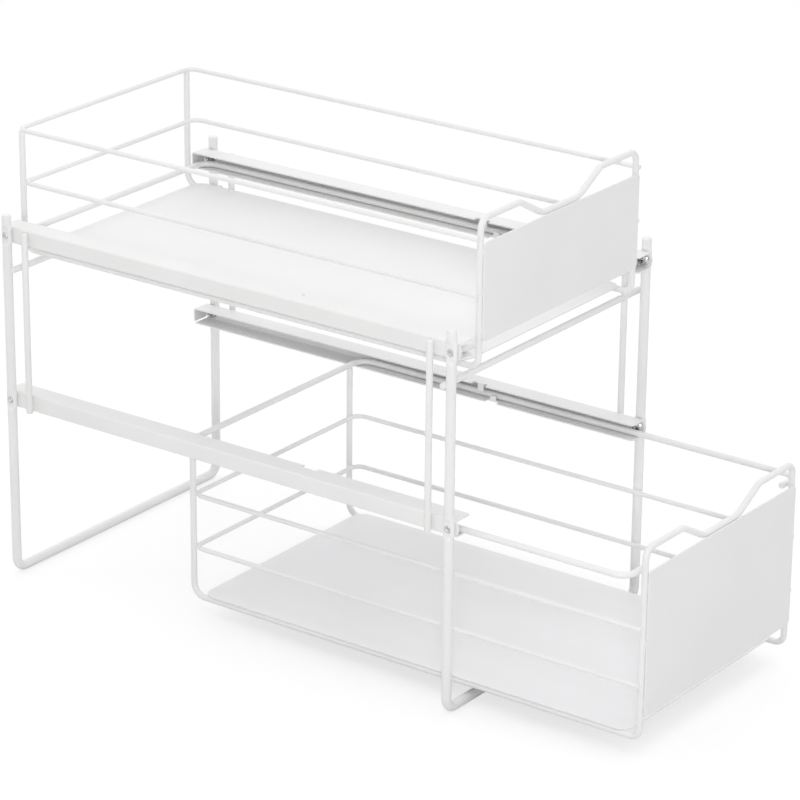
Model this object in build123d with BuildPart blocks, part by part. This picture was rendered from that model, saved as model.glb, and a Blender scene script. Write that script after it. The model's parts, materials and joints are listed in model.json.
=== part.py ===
from build123d import *
import os

# Two-tier pull-out organizer of bent tube, wire and sheet steel, in millimetres.
# X runs across the stand, +Y to its back, +Z up. The origin is on the floor,
# midway between the four posts. The upper basket is shut, the lower one is pulled out.

# Stand
stand_width = 246.0          # over the outsides of the posts
stand_depth = 396.0          # from the front posts' axis to the rear posts' axis
post_height = 283.5
post_overrun = 15.6          # of the posts' tops, above the middle of the upper rails
tube_d = 7.0                 # tube that is bent into the two leg frames
tube_wall = 1.0
tube_bend_radius = 9.0       # at the floor, on the tube's axis
flat_thickness = 4.0         # where the tube is pressed flat for a rail
flat_width = 8.8
flat_height = 10.6
flat_run = 2.6               # length over which round turns into flat
plug_head_height = 1.4
plug_head_radius = 0.6
plug_stem_length = 4.5
plug_stem_clearance = 0.1    # around the stem
crossbar_d = 4.8
crossbar_overrun = 2.0       # past the posts' axes
crossbar_clearance = 3.0     # below the upper basket
stile_d = 4.8
stile_setback = 17.5         # from the posts' axes, along the rails
stile_top_gap = 1.6          # below the upper rail's top
stile_bottom_drop = 0.6      # below the lower rail's underside
wire_end_chamfer = 0.5

# Rails
rail_sheet = 1.0
rail_height = 12.5
rail_depth = 16.0
rail_overrun = 5.0           # of the flanges, past the posts' axes
rail_nose = 1.6              # how far the web's rounded ends stand past the flanges
rail_bend_outer = 1.5
rail_bend_inner = 0.5
rail_corner_radius = 2.0
end_plate_gap = 0.9          # under the plate that closes a rail's rear end
lower_rail_z = 140.0         # middle of the web

# Stop tabs, cut free along the flanges' edges and bent into the channel
notch_depth = 4.0
top_notch_width = 12.6
bottom_notch_width = 10.8
tab_width = 5.2
tab_bend = 0.8
top_tab_drop = 6.0           # from the top flange's upper face
bottom_tab_rise = 5.0        # from the bottom flange's lower face
top_tab_setback = 130.8      # from the front posts' axis
bottom_tab_setback = 119.5

# Screws that hold the rails to the posts
screw_d = 5.0
screw_head_d = 9.4
screw_head_height = 2.8
screw_head_rim = 0.6
screw_tip_chamfer = 0.4
screw_overrun = 0.7          # of the tip, past the post
screw_hole_clearance = 0.1   # around the shank

# Baskets
basket_wire_d = 4.6
rim_d = 3.5
tray_sheet = 1.0
panel_sheet = 1.2
weld_seam = 0.1              # between two pieces that are welded together
running_gap = 0.3            # between a runner and the flange that it slides on
runner_head_clearance = 1.6  # between a runner and the screw heads
basket_side_gap = 7.1        # from the flanges' edges to the frame wires' axes
basket_front_reach = 4.3     # of the front wires' axis, past the front posts' axis
upper_rear_reach = 5.0       # of the rear wires' axis, past the rear posts' axis
lower_rear_setback = 14.3    # before the rear posts' axis, when this basket is shut
lower_pull_out = 137.2       # how far the lower basket stands out at rest
front_bend_radius = 7.0
rear_bend_radius = 10.0
bar_bend_radius = 8.0
dip_top_radius = 12.0
dip_bottom_radius = 22.0
rim_bend_radius = 8.0
rim_end_reach = 1.0          # of the rims' ends, past the front wires' axis
runner_rear_radius = 12.0
runner_front_radius = 10.0
runner_end_reach = 6.4       # of the runner's ends, past the frame wires' axes
dip_top_width = 98.0         # the dip in the front bar, for the hand
dip_bottom_width = 44.0
dip_depth = 14.8
tray_end_setback = 9.0       # from the axes of the front and the rear wires
tray_corner_radius = 10.0
panel_inset = 2.2            # from the outsides of the front wires
panel_corner_radius = 3.5

# Levels of the upper basket
upper_floor_drop = 17.7      # of the floor wires' axis, below the middle of the rail
upper_top_rise = 91.8        # of the top rim, above the floor wires
upper_bar_rise = 105.0       # of the front bar, above the floor wires
upper_middle_share = 0.485   # of the way from the runner up to the top rim
upper_panel_foot = 18.8      # of the front panel, above the floor wires
upper_panel_head = 89.0

# Levels of the lower basket
lower_floor_clearance = 5.4  # above the floor bars of the leg frames
lower_bar_rise = 139.0
lower_rim_shares = (0.329, 0.668)   # of the way from the floor wires up to the runner
lower_panel_foot = 16.8
lower_panel_head = 123.6

# Places that follow from these sizes
post_x = stand_width / 2 - tube_d / 2
post_y = stand_depth / 2
tube_top_z = post_height - plug_head_height
web_x = post_x - flat_thickness / 2
web_inner_x = web_x - rail_sheet
flange_edge_x = web_x - rail_depth
rail_end_y = post_y + rail_overrun
end_plate_y = rail_end_y + rail_nose - rail_sheet / 2
upper_rail_z = post_height - post_overrun
top_tab_y = -post_y + top_tab_setback
bottom_tab_y = -post_y + bottom_tab_setback
rail_levels = {"upper": upper_rail_z, "lower": lower_rail_z}
frame_wire_x = flange_edge_x - basket_side_gap
runner_x = web_inner_x - screw_head_height - runner_head_clearance - basket_wire_d / 2
runner_end_x = frame_wire_x - runner_end_reach
runner_rise = rail_sheet + running_gap + basket_wire_d / 2 - rail_height / 2
rim_beside_wire = basket_wire_d / 2 + weld_seam + rim_d / 2
rim_x = frame_wire_x + rim_beside_wire
runner_behind_wire = basket_wire_d + weld_seam
crossbar_y = post_y - tube_d / 2 - weld_seam - crossbar_d / 2
stile_x = web_x + weld_seam + stile_d / 2
stile_y = post_y - stile_setback

upper_floor_z = upper_rail_z - upper_floor_drop
upper_runner_z = upper_rail_z + runner_rise
upper_top_z = upper_floor_z + upper_top_rise
upper_middle_z = upper_runner_z + upper_middle_share * (upper_top_z - upper_runner_z)
upper_front_y = -post_y - basket_front_reach
upper_rear_y = post_y + upper_rear_reach
crossbar_z = upper_floor_z - basket_wire_d / 2 - crossbar_clearance - crossbar_d / 2
lower_floor_z = tube_d + lower_floor_clearance + basket_wire_d / 2
lower_runner_z = lower_rail_z + runner_rise
lower_front_y = upper_front_y - lower_pull_out
lower_rear_y = post_y - lower_rear_setback - lower_pull_out

pieces = {}


def bent_wire(points, radii, diameter):
    """A round wire through the points, with one bend radius for each inner point."""
    start = Vector(*points[0])
    with BuildPart() as wire:
        with BuildLine():
            FilletPolyline(*points, radius=radii)
        with BuildSketch(Plane(origin=start, z_dir=Vector(*points[1]) - start)):
            Circle(diameter / 2)
        sweep()
    return wire


def mirrored_path(half):
    """A path of points that goes on, mirrored, to the other side of the stand."""
    return list(half) + [(-x, y, z) for x, y, z in reversed(half)]


def straight_wire(plane, diameter, length):
    """A straight wire from a plane along its normal, with both ends chamfered."""
    with BuildPart() as wire:
        with BuildSketch(plane):
            Circle(diameter / 2)
        extrude(amount=length)
        chamfer(wire.edges().filter_by(GeomType.CIRCLE), length=wire_end_chamfer)
    return wire


# Leg frames: one tube each, bent into a U that stands on the floor and pressed flat
# where a rail is screwed to it. The first pass makes the outside, the second the bore.
def leg_frame(y):
    flat_half = flat_height / 2
    shoulder = flat_half + flat_run
    bend_top = lower_rail_z - shoulder
    stretches = ((lower_rail_z, upper_rail_z - shoulder), (upper_rail_z, tube_top_z))
    with BuildPart() as leg:
        for wall, mode in ((0, Mode.ADD), (tube_wall, Mode.SUBTRACT)):
            radius = tube_d / 2 - wall
            oval = (flat_width - 2 * wall, flat_thickness - 2 * wall)
            with BuildLine():
                FilletPolyline(
                    (-post_x, y, bend_top),
                    (-post_x, y, tube_d / 2),
                    (post_x, y, tube_d / 2),
                    (post_x, y, bend_top),
                    radius=tube_bend_radius,
                )
            with BuildSketch(Plane(origin=(-post_x, y, bend_top), z_dir=(0, 0, -1))):
                Circle(radius)
            sweep(mode=mode)
            for side in (-1, 1):
                for rail_z, stretch_end in stretches:
                    axis = Plane(origin=(side * post_x, y, rail_z))
                    for end in (-1, 1):
                        with BuildSketch(axis.offset(end * shoulder)):
                            Circle(radius)
                        with BuildSketch(axis.offset(end * flat_half)):
                            SlotOverall(*oval, rotation=90)
                        loft(mode=mode)
                    with BuildSketch(axis):
                        SlotOverall(*oval, rotation=90)
                    extrude(amount=flat_half, both=True, mode=mode)
                    with BuildSketch(axis.offset(shoulder)):
                        Circle(radius)
                    extrude(amount=stretch_end - rail_z - shoulder, mode=mode)
        with BuildSketch(Plane.YZ):
            with Locations((y, lower_rail_z), (y, upper_rail_z)):
                Circle(screw_d / 2 + screw_hole_clearance)
        extrude(amount=stand_width, both=True, mode=Mode.SUBTRACT)
    return leg


pieces["front_leg_frame"] = leg_frame(-post_y)
pieces["rear_leg_frame"] = leg_frame(post_y)

# Plugs in the open tops of the posts
with BuildPart() as plug:
    with BuildSketch():
        Circle(tube_d / 2)
    extrude(amount=plug_head_height)
    fillet(plug.edges().group_by(Axis.Z)[-1], radius=plug_head_radius)
    with BuildSketch():
        Circle(tube_d / 2 - tube_wall - plug_stem_clearance)
    extrude(amount=-plug_stem_length)

with BuildPart() as tube_end_plugs:
    post_tops = [(x, y, tube_top_z) for x in (-post_x, post_x) for y in (-post_y, post_y)]
    with Locations(*post_tops):
        add(plug.part)
pieces["tube_end_plugs"] = tube_end_plugs


# Crossbars: a wire across each leg frame, welded to the inner sides of its posts
def crossbar(y):
    start = Plane(origin=(-post_x - crossbar_overrun, y, crossbar_z), z_dir=(1, 0, 0))
    return straight_wire(start, crossbar_d, (post_x + crossbar_overrun) * 2)


pieces["front_crossbar"] = crossbar(-crossbar_y)
pieces["rear_crossbar"] = crossbar(crossbar_y)

# Stiles: upright wires beside the posts, welded to the outsides of both rails
stile_foot_z = lower_rail_z - rail_height / 2 - stile_bottom_drop
stile_top_z = upper_rail_z + rail_height / 2 - stile_top_gap

for end_name, end in (("front", -1), ("rear", 1)):
    for side_name, side in (("left", -1), ("right", 1)):
        foot = Plane(origin=(side * stile_x, end * stile_y, stile_foot_z))
        pieces[f"{end_name}_{side_name}_stile"] = straight_wire(
            foot, stile_d, stile_top_z - stile_foot_z
        )


# Rails: folded channels that open towards the baskets. The web has rounded ends, the
# top flange is folded down at the rear, and one stop tab is cut out of each flange.
def rail(z):
    tab_root_x = flange_edge_x + notch_depth
    flange_height = rail_height / 2
    web_half = flange_height - rail_bend_outer
    with BuildPart() as channel:
        with BuildSketch(Plane.XZ) as section:
            with Locations((web_x - rail_depth / 2, z)):
                Rectangle(rail_depth, rail_height)
            fillet(section.vertices().group_by(Axis.X)[-1], radius=rail_bend_outer)
        extrude(amount=rail_end_y, both=True)
        with BuildSketch(Plane.XZ) as hollow:
            with Locations((web_inner_x - rail_depth / 2, z)):
                Rectangle(rail_depth, rail_height - 2 * rail_sheet)
            fillet(hollow.vertices().group_by(Axis.X)[-1], radius=rail_bend_inner)
        extrude(amount=rail_end_y, both=True, mode=Mode.SUBTRACT)
        free_corners = channel.edges().filter_by(Axis.Z).group_by(Axis.X)[0]
        fillet(free_corners.group_by(Axis.Y)[0], radius=rail_corner_radius)
        for end in (-1, 1):
            with BuildSketch(Plane.YZ.offset(web_inner_x)):
                with BuildLine():
                    Line((end * rail_end_y, z - web_half), (end * rail_end_y, z + web_half))
                    ThreePointArc(
                        (end * rail_end_y, z + web_half),
                        (end * (rail_end_y + rail_nose), z),
                        (end * rail_end_y, z - web_half),
                    )
                make_face()
            extrude(amount=rail_sheet)
        with BuildSketch(Plane.YZ.offset(flange_edge_x)):
            with BuildLine():
                FilletPolyline(
                    (rail_end_y, z + flange_height - rail_sheet / 2),
                    (end_plate_y, z + flange_height - rail_sheet / 2),
                    (end_plate_y, z - flange_height + rail_sheet + end_plate_gap),
                    radius=rail_bend_inner + rail_sheet / 2,
                )
            trace(line_width=rail_sheet)
        extrude(amount=rail_depth - rail_sheet - rail_bend_inner)
        for tab_y, notch_width, up, reach in (
            (top_tab_y, top_notch_width, 1, top_tab_drop),
            (bottom_tab_y, bottom_notch_width, -1, bottom_tab_rise),
        ):
            with BuildSketch(Plane.XY.offset(z)):
                with Locations((tab_root_x - notch_depth / 2, tab_y)):
                    Rectangle(notch_depth, notch_width)
            extrude(amount=up * rail_height, mode=Mode.SUBTRACT)
            with BuildSketch(Plane.XZ.offset(-tab_y)) as tab:
                with Locations((tab_root_x - rail_sheet / 2, z + up * (flange_height - reach / 2))):
                    Rectangle(rail_sheet, reach)
                bend_corners = tab.vertices().group_by(Axis.X)[0].sort_by(Axis.Y)
                fillet(bend_corners[-1 if up > 0 else 0], radius=tab_bend)
            extrude(amount=tab_width / 2, both=True)
        with BuildSketch(Plane.YZ.offset(web_inner_x)):
            with Locations((-post_y, z), (post_y, z)):
                Circle(screw_d / 2 + screw_hole_clearance)
        extrude(amount=rail_sheet, mode=Mode.SUBTRACT)
    return channel


for level, rail_z in rail_levels.items():
    right_rail = rail(rail_z)
    with BuildPart() as left_rail:
        mirror(right_rail.part, about=Plane.YZ)
    pieces[f"{level}_right_rail"] = right_rail
    pieces[f"{level}_left_rail"] = left_rail

# Screws: domed heads inside the channels, tips on the outsides of the posts
screw_length = rail_sheet + flat_thickness + screw_overrun

with BuildPart() as screw:
    with BuildSketch(Plane.XZ):
        with BuildLine():
            TangentArc(
                (-screw_head_height, 0),
                (-screw_head_rim, screw_head_d / 2),
                tangent=(0, 1),
            )
            Polyline(
                (-screw_head_rim, screw_head_d / 2),
                (0, screw_head_d / 2),
                (0, screw_d / 2),
                (screw_length - screw_tip_chamfer, screw_d / 2),
                (screw_length, screw_d / 2 - screw_tip_chamfer),
                (screw_length, 0),
                (-screw_head_height, 0),
            )
        make_face()
    revolve(axis=Axis.X)

with BuildPart() as rail_screws:
    for side, turn in ((-1, 180), (1, 0)):
        seats = [
            Location((side * web_inner_x, y, z), (0, 0, turn))
            for y in (-post_y, post_y)
            for z in rail_levels.values()
        ]
        with Locations(*seats):
            add(screw.part)
pieces["rail_screws"] = rail_screws


# Baskets: one frame wire each, with welded rims, a runner that lies in the rails,
# a sheet floor and a sheet front
def frame_wire(front_y, rear_y, floor_z, rear_top_z, bar_z):
    half = (
        (-frame_wire_x, rear_y, rear_top_z),
        (-frame_wire_x, rear_y, floor_z),
        (-frame_wire_x, front_y, floor_z),
        (-frame_wire_x, front_y, bar_z),
        (-dip_top_width / 2, front_y, bar_z),
        (-dip_bottom_width / 2, front_y, bar_z - dip_depth),
    )
    bends = [
        rear_bend_radius,
        front_bend_radius,
        bar_bend_radius,
        dip_top_radius,
        dip_bottom_radius,
    ]
    return bent_wire(mirrored_path(half), bends + bends[::-1], basket_wire_d)


def rim(front_y, rear_run_y, z):
    half = ((-rim_x, front_y - rim_end_reach, z), (-rim_x, rear_run_y, z))
    return bent_wire(mirrored_path(half), [rim_bend_radius, rim_bend_radius], rim_d)


def runner(front_y, rear_run_y, z):
    half = (
        (-runner_end_x, front_y + runner_behind_wire, z),
        (-runner_x, front_y + runner_behind_wire, z),
        (-runner_x, rear_run_y, z),
    )
    bends = [runner_front_radius, runner_rear_radius]
    return bent_wire(mirrored_path(half), bends + bends[::-1], basket_wire_d)


def tray(front_y, rear_y, floor_z):
    with BuildPart() as sheet:
        with BuildSketch(Plane.XY.offset(floor_z + basket_wire_d / 2 + weld_seam)):
            with Locations((0, (front_y + rear_y) / 2)):
                RectangleRounded(
                    frame_wire_x * 2 + basket_wire_d,
                    rear_y - front_y - tray_end_setback * 2,
                    tray_corner_radius,
                )
        extrude(amount=tray_sheet)
    return sheet


def front_panel(front_y, foot_z, head_z):
    with BuildPart() as sheet:
        with BuildSketch(Plane.XZ.offset(basket_wire_d / 2 + weld_seam - front_y)):
            with Locations((0, (foot_z + head_z) / 2)):
                RectangleRounded(
                    frame_wire_x * 2 + basket_wire_d - panel_inset * 2,
                    head_z - foot_z,
                    panel_corner_radius,
                )
        extrude(amount=panel_sheet)
    return sheet


def basket(level, front_y, rear_y, floor_z, rear_top_z, bar_rise, foot_rise, head_rise):
    pieces[f"{level}_basket_frame_wire"] = frame_wire(
        front_y, rear_y, floor_z, rear_top_z, floor_z + bar_rise
    )
    pieces[f"{level}_basket_tray"] = tray(front_y, rear_y, floor_z)
    pieces[f"{level}_basket_front_panel"] = front_panel(
        front_y, floor_z + foot_rise, floor_z + head_rise
    )


# The top rim of the upper basket and the runner of the lower one sit on top of the
# rear wires. All the other rims and runners pass in front of the rear wires.
basket(
    "upper", upper_front_y, upper_rear_y, upper_floor_z,
    upper_top_z - rim_d / 2 - weld_seam, upper_bar_rise, upper_panel_foot, upper_panel_head,
)
pieces["upper_basket_top_rim"] = rim(upper_front_y, upper_rear_y, upper_top_z)
pieces["upper_basket_middle_rim"] = rim(
    upper_front_y, upper_rear_y - rim_beside_wire, upper_middle_z
)
pieces["upper_basket_runner"] = runner(
    upper_front_y, upper_rear_y - runner_behind_wire, upper_runner_z
)

basket(
    "lower", lower_front_y, lower_rear_y, lower_floor_z,
    lower_runner_z - basket_wire_d / 2 - weld_seam, lower_bar_rise,
    lower_panel_foot, lower_panel_head,
)
pieces["lower_basket_runner"] = runner(lower_front_y, lower_rear_y, lower_runner_z)
for rim_name, rim_share in zip(("lower", "upper"), lower_rim_shares):
    pieces[f"lower_basket_{rim_name}_rim"] = rim(
        lower_front_y,
        lower_rear_y - rim_beside_wire,
        lower_floor_z + rim_share * (lower_runner_z - lower_floor_z),
    )

os.makedirs("parts", exist_ok=True)
for name, piece in pieces.items():
    piece.part.label = name
    export_step(piece.part, f"parts/{name}.step")
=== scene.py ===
# %% [markdown]
# # A two-tier pull-out organizer of white wire, tube and sheet steel
# It stands under a sink. Two baskets hang in folded rails and slide forwards. Everything
# but the screws and the plugs wears the same baked white powder coat, so this lesson is
# mostly about thin, smooth, pale metal: clean bends, soft edges, small welds, and a light
# that shows them.

# %% The imported part comes in first, with a helper that reads a node's box
import json
import math

import bmesh
import bpy
from mathutils import Euler, Matrix, Vector


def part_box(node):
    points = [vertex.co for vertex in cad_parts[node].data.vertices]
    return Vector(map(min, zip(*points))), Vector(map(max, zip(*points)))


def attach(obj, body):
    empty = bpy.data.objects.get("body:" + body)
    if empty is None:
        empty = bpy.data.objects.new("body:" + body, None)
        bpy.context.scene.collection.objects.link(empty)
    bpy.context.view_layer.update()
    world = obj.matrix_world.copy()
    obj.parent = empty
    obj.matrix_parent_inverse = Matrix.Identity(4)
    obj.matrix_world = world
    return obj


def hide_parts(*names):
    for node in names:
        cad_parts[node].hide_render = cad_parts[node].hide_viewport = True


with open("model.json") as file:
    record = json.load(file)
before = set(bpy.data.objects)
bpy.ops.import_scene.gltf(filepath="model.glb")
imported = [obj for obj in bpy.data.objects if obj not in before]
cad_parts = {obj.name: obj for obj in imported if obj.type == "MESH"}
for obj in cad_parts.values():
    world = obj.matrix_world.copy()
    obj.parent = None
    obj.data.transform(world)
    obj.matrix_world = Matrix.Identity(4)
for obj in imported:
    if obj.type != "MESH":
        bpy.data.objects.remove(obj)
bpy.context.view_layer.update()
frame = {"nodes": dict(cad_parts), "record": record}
scene = bpy.context.scene
MM = 0.001
print("nodes in the part:", len(frame["nodes"]))

# %% [markdown]
# ## The camera
# The photograph was taken with a long lens from the front left, a little above the object.
# The place, the turn and the focal length were worked out from corners whose places on the
# object are known, so the camera needs no trial and error here.

# %% The camera stands where the photographer stood
camera_place = Vector((-2.00328, -1.52158, 1.13500))
looking = Vector((0.73042, 0.57094, -0.37486)).normalized()
level_right = looking.cross(Vector((0, 0, 1))).normalized()
level_up = level_right.cross(looking)
roll = math.radians(-0.20)
photo_pixels = 800
focal_pixels = 3693.64
middle_x, middle_y = 275.63, 439.94
right = level_right * math.cos(roll) + level_up * math.sin(roll)
up = level_up * math.cos(roll) - level_right * math.sin(roll)

camera_data = bpy.data.cameras.new("camera")
camera_data.sensor_width = 36
camera_data.lens = focal_pixels / photo_pixels * camera_data.sensor_width
camera_data.shift_x = (photo_pixels / 2 - middle_x) / photo_pixels
camera_data.shift_y = (middle_y - photo_pixels / 2) / photo_pixels
camera_data.clip_end = 50
camera = bpy.data.objects.new("camera", camera_data)
camera.matrix_world = Matrix.Translation(camera_place) @ Matrix(
    (right, up, -looking)
).transposed().to_4x4()
scene.collection.objects.link(camera)
scene.camera = camera
print("lens, mm:", round(camera_data.lens, 1))

# %% [markdown]
# ## The powder coat
# Powder is sprayed on dry and melts into a skin about 0.08 mm thick. Up close it has an
# orange-peel relief with bumps about a millimetre apart. It is a little thinner and greyer
# in places, and its gloss changes from spot to spot. A flat white would show none of this.
# An image texture could, but noise in Object coordinates has no seams and the same scale
# on every piece, so that way was chosen.

# %% A helper for materials: a node with some of its sockets set
def add_node(tree, kind, settings=None, **sockets):
    """A new node in the tree. settings are its properties; the rest are its input sockets."""
    node = tree.nodes.new(kind)
    for key, value in (settings or {}).items():
        setattr(node, key, value)
    for key, value in sockets.items():
        node.inputs[key.replace("_", " ")].default_value = value
    return node


def new_material(name):
    """An empty material with its output, and its Object coordinates."""
    material = bpy.data.materials.new(name)
    material.use_nodes = True
    tree = material.node_tree
    tree.nodes.clear()
    output = add_node(tree, "ShaderNodeOutputMaterial")
    place = add_node(tree, "ShaderNodeTexCoord").outputs["Object"]
    return material, tree, output, place


def grain(tree, place, scale, detail=2.0, roughness=0.5):
    """A noise with features about 1 / scale metres apart, from 0 to 1."""
    noise = add_node(
        tree, "ShaderNodeTexNoise", Scale=scale, Detail=detail, Roughness=roughness
    )
    tree.links.new(place, noise.inputs["Vector"])
    return noise.outputs["Fac"]


def between(tree, value, low, high, start=0.3, end=0.7):
    """The value, spread over a new range."""
    spread = add_node(tree, "ShaderNodeMapRange")
    spread.inputs["From Min"].default_value = start
    spread.inputs["From Max"].default_value = end
    spread.inputs["To Min"].default_value = low
    spread.inputs["To Max"].default_value = high
    tree.links.new(value, spread.inputs["Value"])
    return spread.outputs["Result"]


def two_tones(tree, share, first, second):
    """The first colour where the share is 0, and the second where it is 1."""
    tint = add_node(tree, "ShaderNodeMix", {"data_type": "RGBA"})
    tint.inputs["A"].default_value = (*first, 1)
    tint.inputs["B"].default_value = (*second, 1)
    tree.links.new(share, tint.inputs["Factor"])
    return tint.outputs["Result"]


# %% The coat itself, with sizes for its relief and for its patches
def powder_coat(name, full, thin, gloss, peel_depth, sway_depth=0.0):
    """White powder coat. full and thin are its colours, gloss its roughness range,
    peel_depth the height of the orange peel and sway_depth that of dents in a sheet."""
    material, tree, output, place = new_material(name)
    coat = add_node(tree, "ShaderNodeBsdfPrincipled", IOR=1.5)
    patches = between(tree, grain(tree, place, 14.0, 3.0), 0.0, 1.0)
    tree.links.new(two_tones(tree, patches, full, thin), coat.inputs["Base Color"])
    tree.links.new(
        between(tree, grain(tree, place, 230.0, 2.0), *gloss), coat.inputs["Roughness"]
    )
    peel = add_node(tree, "ShaderNodeBump", Strength=0.5, Distance=peel_depth)
    tree.links.new(grain(tree, place, 950.0, 1.5), peel.inputs["Height"])
    if sway_depth:
        sway = add_node(tree, "ShaderNodeBump", Strength=0.5, Distance=sway_depth)
        tree.links.new(grain(tree, place, 11.0, 1.0), sway.inputs["Height"])
        tree.links.new(sway.outputs["Normal"], peel.inputs["Normal"])
    tree.links.new(peel.outputs["Normal"], coat.inputs["Normal"])
    tree.links.new(coat.outputs["BSDF"], output.inputs["Surface"])
    return material


wire_coat = powder_coat(
    "powder_coat_on_wire", (0.87, 0.87, 0.865), (0.83, 0.83, 0.825), (0.36, 0.44), 0.00002
)
sheet_coat = powder_coat(
    "powder_coat_on_sheet", (0.86, 0.86, 0.87), (0.835, 0.835, 0.845), (0.34, 0.44), 0.00006,
    sway_depth=0.0007,
)
rail_coat = powder_coat(
    "powder_coat_on_rails", (0.865, 0.863, 0.86), (0.83, 0.83, 0.825), (0.36, 0.44), 0.00002
)
print("powder coats:", wire_coat.name, sheet_coat.name, rail_coat.name)

# %% [markdown]
# ## Plated screws and moulded plugs
# The screws are the only bare metal. Bright zinc plating reflects like a mirror. Its colour has
# darker clouds, which are painted reflections standing in for the dark surroundings a real
# screw
# reflects. The plugs are moulded plastic: the same white, but matt, with a fine spark-eroded
# grain.

# %% Zinc plating, with painted dark reflections in its colour
def plating(name):
    """Bright zinc with darker clouds painted in as dark reflections, and fine rub marks."""
    material, tree, output, place = new_material(name)
    metal = add_node(tree, "ShaderNodeBsdfPrincipled", Metallic=1.0)
    # The darker clouds mixed into the colour below are painted dark reflections.
    painted_dark_reflections = between(tree, grain(tree, place, 420.0, 3.0), 0.0, 1.0)
    shades = two_tones(tree, painted_dark_reflections, (0.90, 0.90, 0.91), (0.42, 0.42, 0.43))
    tree.links.new(shades, metal.inputs["Base Color"])
    tree.links.new(
        between(tree, grain(tree, place, 1500.0), 0.08, 0.2), metal.inputs["Roughness"]
    )
    rub = add_node(tree, "ShaderNodeBump", Strength=0.3, Distance=0.00003)
    tree.links.new(grain(tree, place, 2600.0), rub.inputs["Height"])
    tree.links.new(rub.outputs["Normal"], metal.inputs["Normal"])
    tree.links.new(metal.outputs["BSDF"], output.inputs["Surface"])
    return material


screw_plating = plating("zinc_plating_on_screws")
print("metal:", screw_plating.name)


# %% Moulded plastic
def moulded(name):
    """Matt white plastic with faint swirls and a spark-eroded grain."""
    material, tree, output, place = new_material(name)
    plastic = add_node(tree, "ShaderNodeBsdfPrincipled", IOR=1.49)
    swirl = between(tree, grain(tree, place, 160.0, 2.0), 0.0, 1.0)
    shades = two_tones(tree, swirl, (0.88, 0.88, 0.87), (0.84, 0.84, 0.83))
    tree.links.new(shades, plastic.inputs["Base Color"])
    tree.links.new(
        between(tree, grain(tree, place, 900.0), 0.45, 0.58), plastic.inputs["Roughness"]
    )
    sparks = add_node(tree, "ShaderNodeBump", Strength=0.5, Distance=0.00004)
    tree.links.new(grain(tree, place, 3200.0, 1.0), sparks.inputs["Height"])
    tree.links.new(sparks.outputs["Normal"], plastic.inputs["Normal"])
    tree.links.new(plastic.outputs["BSDF"], output.inputs["Surface"])
    return material


plug_plastic = moulded("moulded_plastic_on_plugs")
print("plastic:", plug_plastic.name)

# %% [markdown]
# ## Pieces that keep their CAD shape
# The leg frames are tubes pressed flat where a rail is screwed on, and the plugs sit in
# their tops. Those shapes are right in the CAD, so these nodes stay and only get a finish.

# %% The finish goes on the nodes that stay
def finish_node(name, material):
    """Gives a CAD node one material."""
    node = frame["nodes"][name]
    node.data.materials.clear()
    node.data.materials.append(material)


for name in ("front_leg_frame", "rear_leg_frame"):
    finish_node(name, wire_coat)
finish_node("tube_end_plugs", plug_plastic)
print("kept from the CAD: front_leg_frame, rear_leg_frame, tube_end_plugs")

# %% [markdown]
# ## Sheet pieces with soft edges
# Powder melts round a sheet's edge and leaves it rounded, and that edge catches the light
# as a thin bright line. CAD edges are perfectly sharp and never do. The nodes could be
# modelled again, but their outlines are right, so each is copied, its loose triangles are
# merged into whole faces, and a narrow Bevel goes round every edge. A Weighted Normal keeps
# the wide faces flat in the light, so that only the narrow ones turn from one to the next.

# %% A helper that turns whatever an object's modifiers make into its own plain mesh
def settle(piece, sharp_angle=35):
    """Replaces an object's data with its evaluated mesh, smooth but for sharp edges.
    Where sharp_angle is None, the shading is left as the modifiers made it."""
    bpy.context.view_layer.update()
    evaluated = piece.evaluated_get(bpy.context.evaluated_depsgraph_get())
    mesh = bpy.data.meshes.new_from_object(evaluated)
    piece.modifiers.clear()
    piece.data = mesh
    if sharp_angle is not None:
        mesh.shade_smooth()
        mesh.set_sharp_from_angle(angle=math.radians(sharp_angle))
    return mesh


def body_of(name):
    """The body that carries a CAD node."""
    for body, nodes in frame["record"]["behaviour"]["bodies"].items():
        if name in nodes:
            return body


# %% The soft-edged copies
def soft_edged(name, edge, material):
    """A copy of a CAD node with whole faces and a rounded edge, in the node's place."""
    shape = bmesh.new()
    shape.from_mesh(frame["nodes"][name].data)
    bmesh.ops.remove_doubles(shape, verts=shape.verts, dist=0.002 * MM)
    bmesh.ops.dissolve_limit(
        shape, angle_limit=math.radians(0.6), verts=shape.verts, edges=shape.edges
    )
    mesh = bpy.data.meshes.new(f"{name}_soft")
    shape.to_mesh(mesh)
    shape.free()
    mesh.shade_smooth()
    piece = bpy.data.objects.new(f"{name}_soft", mesh)
    scene.collection.objects.link(piece)
    bevel = piece.modifiers.new("edge", "BEVEL")
    bevel.width = edge
    bevel.segments = 3
    bevel.limit_method = "ANGLE"
    bevel.angle_limit = math.radians(40)
    bevel.use_clamp_overlap = True
    flat = piece.modifiers.new("flat_faces", "WEIGHTED_NORMAL")
    flat.mode = "FACE_AREA"
    flat.weight = 100
    mesh = settle(piece, None)
    mesh.materials.clear()
    mesh.materials.append(material)
    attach(piece, body_of(name))
    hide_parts(name)
    return piece


levels = ("upper", "lower")
sheet_edge, rail_edge = 0.3 * MM, 0.16 * MM
for level in levels:
    for part in ("tray", "front_panel"):
        soft_edged(f"{level}_basket_{part}", sheet_edge, sheet_coat)
for level in levels:
    for side in ("left", "right"):
        piece = soft_edged(f"{level}_{side}_rail", rail_edge, rail_coat)
print("a rail has", len(piece.data.polygons), "faces")

# %% [markdown]
# ## Bent wires
# Every wire is straight runs joined by round bends of a known radius, as a wire bender
# makes them. A curve object with handles could be drawn for each, but its bends would be
# set by eye. Here the corners are plain points, each with its own bend radius, and one
# Geometry Nodes tree rounds the corners and sweeps the wire. So all the wires share one
# rule, and their places come from the CAD nodes' boxes.

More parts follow.
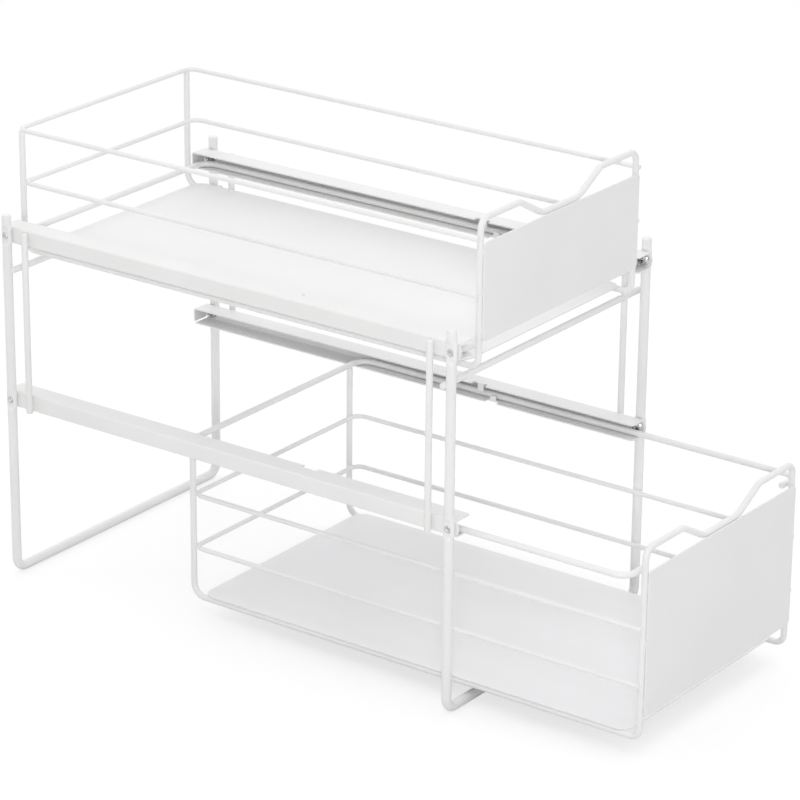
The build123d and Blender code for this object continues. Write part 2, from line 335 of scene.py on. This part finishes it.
# %% A small kit for building Geometry Nodes trees
def new_tree(name, *inputs):
    """A tree with a Geometry input and output and some named inputs more."""
    tree = bpy.data.node_groups.new(name, "GeometryNodeTree")
    tree.interface.new_socket("Geometry", in_out="INPUT", socket_type="NodeSocketGeometry")
    for label, kind in inputs:
        tree.interface.new_socket(label, in_out="INPUT", socket_type=kind)
    tree.interface.new_socket("Geometry", in_out="OUTPUT", socket_type="NodeSocketGeometry")
    return tree, tree.nodes.new("NodeGroupInput"), tree.nodes.new("NodeGroupOutput")


def set_inputs(modifier, **values):
    """Sets a modifier's inputs. The identifiers are looked up by the sockets' names."""
    sockets = {s.name: s.identifier for s in modifier.node_group.interface.items_tree
               if s.in_out == "INPUT"}
    for label, value in values.items():
        modifier[sockets[label.replace("_", " ")]] = value


def read_attribute(tree, label, kind):
    """A node's output that reads a named attribute of the points."""
    node = tree.nodes.new("GeometryNodeInputNamedAttribute")
    node.data_type = kind
    node.inputs["Name"].default_value = label
    return node.outputs["Attribute"]


# %% The tree that bends and sweeps a wire
bender, b_in, b_out = new_tree(
    "wire_bender",
    ("Wire diameter", "NodeSocketFloat"),
    ("Facets per bend", "NodeSocketInt"),
    ("Facets round", "NodeSocketInt"),
    ("Coat", "NodeSocketMaterial"),
)
to_curve = bender.nodes.new("GeometryNodeMeshToCurve")
rounding = bender.nodes.new("GeometryNodeFilletCurve")
rounding.mode = "POLY"
half = add_node(bender, "ShaderNodeMath", {"operation": "MULTIPLY"})
half.inputs[1].default_value = 0.5
ring = bender.nodes.new("GeometryNodeCurvePrimitiveCircle")
skin = add_node(bender, "GeometryNodeCurveToMesh", Fill_Caps=True)
whole = bender.nodes.new("GeometryNodeRealizeInstances")
coat = bender.nodes.new("GeometryNodeSetMaterial")
for start, end in (
    (b_in.outputs["Geometry"], to_curve.inputs["Mesh"]),
    (to_curve.outputs["Curve"], rounding.inputs["Curve"]),
    (read_attribute(bender, "bend", "FLOAT"), rounding.inputs["Radius"]),
    (b_in.outputs["Facets per bend"], rounding.inputs["Count"]),
    (rounding.outputs["Curve"], skin.inputs["Curve"]),
    (b_in.outputs["Wire diameter"], half.inputs[0]),
    (half.outputs[0], ring.inputs["Radius"]),
    (b_in.outputs["Facets round"], ring.inputs["Resolution"]),
    (ring.outputs["Curve"], skin.inputs["Profile Curve"]),
    (skin.outputs["Mesh"], whole.inputs["Geometry"]),
    (whole.outputs["Geometry"], coat.inputs["Geometry"]),
    (b_in.outputs["Coat"], coat.inputs["Material"]),
    (coat.outputs["Geometry"], b_out.inputs["Geometry"]),
):
    bender.links.new(start, end)


# %% A wire is a list of corners, each with the radius of its bend
def bent_wire(name, corners, diameter, end_round=0.35 * MM):
    """A wire that replaces the CAD node of that name. corners are (x, y, z, bend radius)."""
    mesh = bpy.data.meshes.new(f"{name}_wire")
    steps = [(i, i + 1) for i in range(len(corners) - 1)]
    mesh.from_pydata([c[:3] for c in corners], steps, [])
    bends = mesh.attributes.new("bend", "FLOAT", "POINT")
    bends.data.foreach_set("value", [c[3] for c in corners])
    wire = bpy.data.objects.new(f"{name}_wire", mesh)
    scene.collection.objects.link(wire)
    bending = wire.modifiers.new("bending", "NODES")
    bending.node_group = bender
    set_inputs(
        bending, Wire_diameter=diameter, Facets_per_bend=12, Facets_round=28, Coat=wire_coat
    )
    ends = wire.modifiers.new("cut_ends", "BEVEL")
    ends.width = end_round
    ends.segments = 2
    ends.limit_method = "ANGLE"
    ends.angle_limit = math.radians(60)
    settle(wire)
    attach(wire, body_of(name))
    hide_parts(name)
    return wire


def mirrored(half_path):
    """The left half's corners, and then the right half's."""
    return list(half_path) + [(-x, y, z, bend) for x, y, z, bend in reversed(half_path)]


# %% The two basket frames: up at the back, along the floor, up at the front, across with a dip
wire_d = 4.6 * MM
rim_d = 3.5 * MM
weld_seam = 0.1 * MM
dip = {"top": 49.0 * MM, "bottom": 22.0 * MM, "depth": 14.8 * MM}
rear_bend, front_bend, bar_bend = 10 * MM, 7 * MM, 8 * MM
dip_top_bend, dip_bottom_bend = 12 * MM, 22 * MM
wire_r = wire_d / 2
rim_r = rim_d / 2
baskets = {}

for level, carried in (("upper", "top_rim"), ("lower", "runner")):
    low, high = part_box(f"{level}_basket_frame_wire")
    x = high[0] - wire_r
    front, rear = low[1] + wire_r, high[1] - wire_r
    floor_z, bar_z = low[2] + wire_r, high[2] - wire_r
    rear_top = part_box(f"{level}_basket_{carried}")[0][2] - weld_seam
    baskets[level] = {"x": x, "front": front, "rear": rear, "floor": floor_z, "bar": bar_z}
    bent_wire(f"{level}_basket_frame_wire", mirrored([
        (-x, rear, rear_top, 0),
        (-x, rear, floor_z, rear_bend),
        (-x, front, floor_z, front_bend),
        (-x, front, bar_z, bar_bend),
        (-dip["top"], front, bar_z, dip_top_bend),
        (-dip["bottom"], front, bar_z - dip["depth"], dip_bottom_bend),
    ]), wire_d)
print({level: {k: round(v / MM, 1) for k, v in b.items()} for level, b in baskets.items()})

# %% Rims: one bend at each rear corner. Runners: one more where they turn in at the front
rims = ("upper_basket_top_rim", "upper_basket_middle_rim",
        "lower_basket_upper_rim", "lower_basket_lower_rim")
rim_bend = 8 * MM
runner_end = 88.0 * MM
runner_front_bend, runner_rear_bend = 10 * MM, 12 * MM
for name in rims:
    low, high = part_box(name)
    x, z = high[0] - rim_r, (low[2] + high[2]) / 2
    bent_wire(name, mirrored([(-x, low[1], z, 0), (-x, high[1] - rim_r, z, rim_bend)]), rim_d)
for level in baskets:
    name = f"{level}_basket_runner"
    low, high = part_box(name)
    x, z = high[0] - wire_r, (low[2] + high[2]) / 2
    front, rear = low[1] + wire_r, high[1] - wire_r
    bent_wire(name, mirrored([
        (-runner_end, front, z, 0),
        (-x, front, z, runner_front_bend),
        (-x, rear, z, runner_rear_bend),
    ]), wire_d)
print("rims:", len(rims), "runners:", len(baskets))

# %% Crossbars and stiles are straight, with rounded ends
bar_d = 4.8 * MM
bar_end_round = 0.5 * MM
for name in ("front_crossbar", "rear_crossbar"):
    low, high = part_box(name)
    y, z = (low[1] + high[1]) / 2, (low[2] + high[2]) / 2
    bent_wire(name, [(low[0], y, z, 0), (high[0], y, z, 0)], bar_d, bar_end_round)
for end in ("front", "rear"):
    for side in ("left", "right"):
        low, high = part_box(f"{end}_{side}_stile")
        x, y = (low[0] + high[0]) / 2, (low[1] + high[1]) / 2
        ends_of_stile = [(x, y, low[2], 0), (x, y, high[2], 0)]
        bent_wire(f"{end}_{side}_stile", ends_of_stile, bar_d, bar_end_round)
print("bar diameter, mm:", round(bar_d / MM, 1))

# %% [markdown]
# ## Screws
# Eight pan-head screws hold the rails to the posts. The heads are inside the channels and
# the tips come out of the posts. One screw is made on a lathe, as a real one is turned: a
# profile goes round an axis. Its thread is the same lathe with the radius shifted by the
# angle, which makes a true helix. The tip has the dimple that a lathe leaves, and it breaks
# up the reflections there. A cross recess is cut in the head with a Boolean, since a pocket
# with sloping walls is awkward to draw face by face.

# %% The lathe
def lathe(name, profile, around=40, pitch=None):
    """A closed solid of revolution about X. The profile is (x, radius, thread depth)."""
    shape = bmesh.new()
    rows = []
    for x, radius, depth in profile:
        row = []
        for i in range(around):
            turn = i / around
            cut = 0.0
            if depth:
                phase = (x / pitch - turn) % 1.0
                cut = depth * (1 - abs(2 * phase - 1))
            angle = math.tau * turn
            r = radius - cut
            row.append(shape.verts.new((x, r * math.cos(angle), r * math.sin(angle))))
        rows.append(row)
    for one, two in zip(rows, rows[1:]):
        for i in range(around):
            j = (i + 1) % around
            shape.faces.new((one[i], one[j], two[j], two[i]))
    shape.faces.new(rows[0])
    shape.faces.new(rows[-1])
    bmesh.ops.recalc_face_normals(shape, faces=shape.faces)
    mesh = bpy.data.meshes.new(name)
    shape.to_mesh(mesh)
    shape.free()
    return mesh


# %% One screw: head towards -X, tip towards +X, its seat at x = 0
head_r, head_height, shank_r = 4.7 * MM, 2.8 * MM, 2.5 * MM
tip_x = 5.7 * MM
thread_pitch, thread_depth = 0.8 * MM, 0.28 * MM
profile = []
for step in range(9):
    share = step / 8
    angle = math.radians(4 + 80 * share)
    profile.append((
        -head_height + (head_height - 0.7 * MM) * (1 - math.cos(angle)),
        head_r * math.sin(angle) ** 0.8 * 0.998, 0,
    ))
profile += [(-0.35 * MM, head_r, 0), (-0.12 * MM, head_r * 0.985, 0), (0, head_r * 0.96, 0)]
profile += [(0, shank_r, 0)]
profile += [(tip_x * k / 60, shank_r, thread_depth if k > 8 else 0) for k in range(1, 57)]
profile += [(tip_x, shank_r * 0.78, 0), (tip_x - 0.1 * MM, shank_r * 0.5, 0)]
profile += [(tip_x - 0.8 * MM, shank_r * 0.06, 0)]
screw_mesh = lathe("screw", profile, pitch=thread_pitch)
screw = bpy.data.objects.new("screw", screw_mesh)
scene.collection.objects.link(screw)

# %% The cross recess: two crossed wings that narrow towards the bottom
cutter_shape = bmesh.new()
for turn in (0, math.pi / 2):
    made = bmesh.ops.create_cube(cutter_shape, size=1.0)["verts"]
    for vert in made:
        deep = vert.co.x > 0
        vert.co.x = -head_height * 0.28 if deep else -head_height - 0.3 * MM
        vert.co.y *= (2.0 if deep else 4.9) * MM
        vert.co.z *= (0.75 if deep else 1.15) * MM
    bmesh.ops.rotate(cutter_shape, verts=made, cent=(0, 0, 0),
                     matrix=Matrix.Rotation(turn, 3, "X"))
cutter_mesh = bpy.data.meshes.new("recess")
cutter_shape.to_mesh(cutter_mesh)
cutter_shape.free()
cutter = bpy.data.objects.new("recess", cutter_mesh)
scene.collection.objects.link(cutter)
recess = screw.modifiers.new("recess", "BOOLEAN")
recess.operation = "DIFFERENCE"
recess.solver = "EXACT"
recess.use_self = True
recess.object = cutter
settle(screw, 30)
bpy.data.objects.remove(cutter)
print("faces in one screw:", len(screw.data.polygons))

# %% [markdown]
# ## Setting pieces out on points
# Screws and welds repeat, so one tree sets them all out: it puts a copy of a piece on each
# point, turned and stretched as the point says. The copies are then made real, because
# instances don't survive an export.

# %% The tree that sets a piece out
setter, s_in, s_out = new_tree(
    "set_out_on_points",
    ("Piece", "NodeSocketObject"),
    ("Finish", "NodeSocketMaterial"),
)
shape_of = add_node(setter, "GeometryNodeObjectInfo", As_Instance=True)
spread = setter.nodes.new("GeometryNodeInstanceOnPoints")
s_real = setter.nodes.new("GeometryNodeRealizeInstances")
s_coat = setter.nodes.new("GeometryNodeSetMaterial")
for start, end in (
    (s_in.outputs["Piece"], shape_of.inputs["Object"]),
    (s_in.outputs["Geometry"], spread.inputs["Points"]),
    (shape_of.outputs["Geometry"], spread.inputs["Instance"]),
    (read_attribute(setter, "turn", "FLOAT_VECTOR"), spread.inputs["Rotation"]),
    (read_attribute(setter, "stretch", "FLOAT_VECTOR"), spread.inputs["Scale"]),
    (spread.outputs["Instances"], s_real.inputs["Geometry"]),
    (s_real.outputs["Geometry"], s_coat.inputs["Geometry"]),
    (s_in.outputs["Finish"], s_coat.inputs["Material"]),
    (s_coat.outputs["Geometry"], s_out.inputs["Geometry"]),
):
    setter.links.new(start, end)


def set_out(name, piece, spots, material, body):
    """Copies of a piece on spots of (place, turn, stretch), as one mesh on one body."""
    mesh = bpy.data.meshes.new(name)
    mesh.from_pydata([s[0] for s in spots], [], [])
    for label, column in (("turn", 1), ("stretch", 2)):
        values = [v for s in spots for v in s[column]]
        mesh.attributes.new(label, "FLOAT_VECTOR", "POINT").data.foreach_set("vector", values)
    group = bpy.data.objects.new(name, mesh)
    scene.collection.objects.link(group)
    setting = group.modifiers.new("setting", "NODES")
    setting.node_group = setter
    set_inputs(setting, Piece=piece, Finish=material)
    settle(group, 30)
    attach(group, body)
    return group


# %% The screws go in, each stopped at its own angle
low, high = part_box("rail_screws")
seat_x = high[0] - tip_x
screw_y = high[1] - head_r
spots = []
heights = (low[2] + head_r, high[2] - head_r)
for i, (side, end, z) in enumerate(
    (side, end, z) for side in (-1, 1) for end in (-1, 1) for z in heights
):
    spin = math.radians((i * 37) % 90)
    turn = Euler((spin, 0, 0 if side > 0 else math.pi), "XYZ")
    spots.append(((side * seat_x, end * screw_y, z), tuple(turn), (1, 1, 1)))
screws = set_out("rail_screws_detailed", screw, spots, screw_plating, "frame")
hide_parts("rail_screws")
bpy.data.objects.remove(screw)
print("screws:", len(spots))

# %% [markdown]
# ## Welds
# Crossing wires are pressed together and welded by a burst of current. The steel that is
# squeezed out leaves a small collar round the joint, and the powder coat smooths it to a
# soft fillet. Each is a flattened bead. Without them the wires would seem to hover a hair
# apart, because in the CAD they are separate pieces with a seam between them.

# %% One weld bead: a flattened ball with a soft, slightly uneven skin
bead_shape = bmesh.new()
bmesh.ops.create_icosphere(bead_shape, subdivisions=2, radius=1.0)
for vert in bead_shape.verts:
    wobble = math.sin(3.1 * vert.co.x + 1.7) * math.cos(2.3 * vert.co.y) * 0.05
    vert.co *= 1 + wobble
bead_mesh = bpy.data.meshes.new("weld_bead")
bead_shape.to_mesh(bead_mesh)
bead_shape.free()
bead = bpy.data.objects.new("weld_bead", bead_mesh)
scene.collection.objects.link(bead)

# %% Where the basket wires touch each other
welds = {"frame": [], "upper_basket": [], "lower_basket": []}


def weld(body, place, stretch):
    """Notes one bead on a body: its place, and its half sizes in millimetres."""
    welds[body].append((place, (0, 0, 0), tuple(s * MM for s in stretch)))


for level, b in baskets.items():
    body = f"{level}_basket"
    over_post = b["rear"] - 1.0 * MM
    before_post = b["rear"] - wire_r - weld_seam / 2
    for name in (n for n in rims if n.startswith(level)):
        low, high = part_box(name)
        z = (low[2] + high[2]) / 2
        touch_x = b["x"] + wire_r + weld_seam / 2
        on_top = name == "upper_basket_top_rim"
        for side in (-1, 1):
            weld(body, (side * touch_x, b["front"], z), (0.9, 1.5, 1.6))
            if on_top:
                under = z - rim_r - weld_seam / 2
                weld(body, (side * b["x"], over_post, under), (1.7, 1.6, 0.8))
            else:
                weld(body, (side * b["x"], before_post, z), (1.5, 0.9, 1.6))
    low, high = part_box(f"{level}_basket_runner")
    z = (low[2] + high[2]) / 2
    for side in (-1, 1):
        weld(body, (side * b["x"], b["front"] + wire_r + weld_seam / 2, z), (1.8, 0.9, 1.8))
        if level == "upper":
            weld(body, (side * b["x"], before_post, z), (1.8, 0.9, 1.8))
        else:
            under = z - wire_r - weld_seam / 2
            weld(body, (side * b["x"], over_post, under), (1.7, 1.5, 0.8))
print("welds between wires:", {body: len(spots) for body, spots in welds.items()})

# %% Where the trays and the fronts are spot-welded to the wires
for level, b in baskets.items():
    body = f"{level}_basket"
    tray_low, tray_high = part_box(f"{level}_basket_tray")
    for side in (-1, 1):
        for share in (0.04, 0.27, 0.5, 0.73, 0.96):
            y = tray_low[1] + share * (tray_high[1] - tray_low[1])
            weld(body, (side * b["x"], y, tray_low[2] - weld_seam / 2), (1.3, 3.0, 0.5))
    panel_low, panel_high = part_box(f"{level}_basket_front_panel")
    y = panel_high[1] + weld_seam / 2
    for side in (-1, 1):
        for share in (0.1, 0.5, 0.9):
            z = panel_low[2] + share * (panel_high[2] - panel_low[2])
            weld(body, (side * (b["x"] - 0.4 * MM), y, z), (1.0, 0.5, 2.4))

# %% Where stiles meet rails and crossbars meet posts
tube_r = 3.5 * MM
for end in ("front", "rear"):
    for side in ("left", "right"):
        low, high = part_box(f"{end}_{side}_stile")
        y = (low[1] + high[1]) / 2
        web_x = low[0] - weld_seam / 2 if side == "right" else high[0] + weld_seam / 2
        for level in levels:
            rail_low, rail_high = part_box(f"{level}_{side}_rail")
            top = min(high[2] - 1.0 * MM, rail_high[2] - 2.0 * MM)
            for z in (top - 1.5 * MM, rail_low[2] + 3.5 * MM):
                weld("frame", (web_x, y, z), (0.6, 1.7, 2.4))
    low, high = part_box(f"{end}_crossbar")
    post_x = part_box(f"{end}_leg_frame")[1][0] - tube_r
    z = (low[2] + high[2]) / 2
    y = high[1] + weld_seam / 2 if end == "rear" else low[1] - weld_seam / 2
    for side in (-1, 1):
        weld("frame", (side * post_x, y, z), (2.2, 0.8, 1.9))

for body, spots in welds.items():
    beads = set_out(f"{body}_welds", bead, spots, wire_coat, body)
bpy.data.objects.remove(bead)
print("welds:", {body: len(spots) for body, spots in welds.items()})

# %% [markdown]
# ## A white studio
# The photograph has a pure white ground with a faint shadow close under the object. A white
# room lights it softly, most from the back and from above and least from the camera's side,
# so the trays are the palest. One small lamp near the camera draws the round shading of the
# posts and the thin shadows in the far rails. For the camera and in reflections the world is
# plain white. The strengths come from a fit to the photograph's shades, with the back made
# weaker, because it bleached the object in views from behind. The upper tray is
# still bleached when it is seen from the rear right.

# %% The world: plain white for the camera and in reflections, a room with five sides as light
world = bpy.data.worlds.new("studio")
world.use_nodes = True
scene.world = world
sky = world.node_tree
sky.nodes.clear()
sky_out = add_node(sky, "ShaderNodeOutputWorld")
towards_camera = Vector((-looking.x, -looking.y, 0)).normalized()
sides = (
    (towards_camera, 0.10),
    (-towards_camera, 1.50),
    (level_right, 0.70),
    (-level_right, 0.50),
    (Vector((0, 0, 1)), 1.10),
)
direction = add_node(sky, "ShaderNodeTexCoord").outputs["Generated"]
strength = None
for side, brightness in sides:
    facing = add_node(sky, "ShaderNodeVectorMath", {"operation": "DOT_PRODUCT"})
    facing.inputs[1].default_value = side
    sky.links.new(direction, facing.inputs[0])
    lobe = add_node(sky, "ShaderNodeMath", {"operation": "MAXIMUM"})
    lobe.inputs[1].default_value = 0
    sky.links.new(facing.outputs["Value"], lobe.inputs[0])
    squared = add_node(sky, "ShaderNodeMath", {"operation": "MULTIPLY"})
    sky.links.new(lobe.outputs[0], squared.inputs[0])
    sky.links.new(lobe.outputs[0], squared.inputs[1])
    summed = add_node(sky, "ShaderNodeMath", {"operation": "MULTIPLY_ADD"})
    summed.inputs[1].default_value = brightness
    summed.inputs[2].default_value = 0
    sky.links.new(squared.outputs[0], summed.inputs[0])
    if strength:
        sky.links.new(strength, summed.inputs[2])
    strength = summed.outputs[0]
fill = add_node(sky, "ShaderNodeBackground", Color=(1, 1, 1, 1))
sky.links.new(strength, fill.inputs["Strength"])
white = add_node(sky, "ShaderNodeBackground", Color=(1, 1, 1, 1), Strength=1.0)
path = add_node(sky, "ShaderNodeLightPath")
seen = add_node(sky, "ShaderNodeMath", {"operation": "MAXIMUM"})
seen_too = add_node(sky, "ShaderNodeMath", {"operation": "MAXIMUM"})
choose = add_node(sky, "ShaderNodeMixShader")
sky.links.new(path.outputs["Is Camera Ray"], seen.inputs[0])
sky.links.new(path.outputs["Is Glossy Ray"], seen.inputs[1])
sky.links.new(seen.outputs[0], seen_too.inputs[0])
sky.links.new(path.outputs["Is Transmission Ray"], seen_too.inputs[1])
sky.links.new(seen_too.outputs[0], choose.inputs["Fac"])
sky.links.new(fill.outputs[0], choose.inputs[1])
sky.links.new(white.outputs[0], choose.inputs[2])
sky.links.new(choose.outputs[0], sky_out.inputs["Surface"])

# %% The floor takes the object's shadow, and is lifted to white for the camera
floor_mesh = bpy.data.meshes.new("floor")
reach = 8
floor_corners = [(-reach, -reach, 0), (reach, -reach, 0), (reach, reach, 0), (-reach, reach, 0)]
floor_mesh.from_pydata(floor_corners, [], [(0, 1, 2, 3)])
floor = bpy.data.objects.new("floor", floor_mesh)
scene.collection.objects.link(floor)
floor_white = bpy.data.materials.new("floor_white")
floor_white.use_nodes = True
ground = floor_white.node_tree
ground.nodes.clear()
ground_out = add_node(ground, "ShaderNodeOutputMaterial")
paper = add_node(ground, "ShaderNodeBsdfDiffuse", Color=(0.80, 0.80, 0.80, 1))
shown = add_node(ground, "ShaderNodeBsdfDiffuse", Color=(0.36, 0.36, 0.36, 1))
glow = add_node(ground, "ShaderNodeEmission", Strength=0.65)
both = add_node(ground, "ShaderNodeAddShader")
ground_path = add_node(ground, "ShaderNodeLightPath")
ground_mix = add_node(ground, "ShaderNodeMixShader")
ground.links.new(shown.outputs[0], both.inputs[0])
ground.links.new(glow.outputs[0], both.inputs[1])
ground.links.new(ground_path.outputs["Is Camera Ray"], ground_mix.inputs["Fac"])
ground.links.new(paper.outputs[0], ground_mix.inputs[1])
ground.links.new(both.outputs[0], ground_mix.inputs[2])
ground.links.new(ground_mix.outputs[0], ground_out.inputs["Surface"])
floor_mesh.materials.append(floor_white)


# %% Lamps: a faint one overhead, the main one by the camera, a small one behind for the folds
object_middle = Vector((0, -0.05, 0.15))


def softbox(name, place, size, watts):
    """A square soft lamp at a place, turned towards the middle of the object."""
    lamp = bpy.data.lights.new(name, "AREA")
    lamp.shape = "SQUARE"
    lamp.size = size
    lamp.energy = watts
    lamp_object = bpy.data.objects.new(name, lamp)
    lamp_object.location = place
    aim = object_middle - Vector(place)
    lamp_object.rotation_euler = aim.to_track_quat("-Z", "Y").to_euler()
    scene.collection.objects.link(lamp_object)


softbox("overhead", (-0.3, -0.2, 2.4), 2.4, 4)
softbox("frontal", (-2.05, -1.55, 1.05), 0.5, 20)
softbox("rear_strip", (-0.94, 1.43, 1.83), 0.35, 3)
scene.view_settings.view_transform = "Standard"
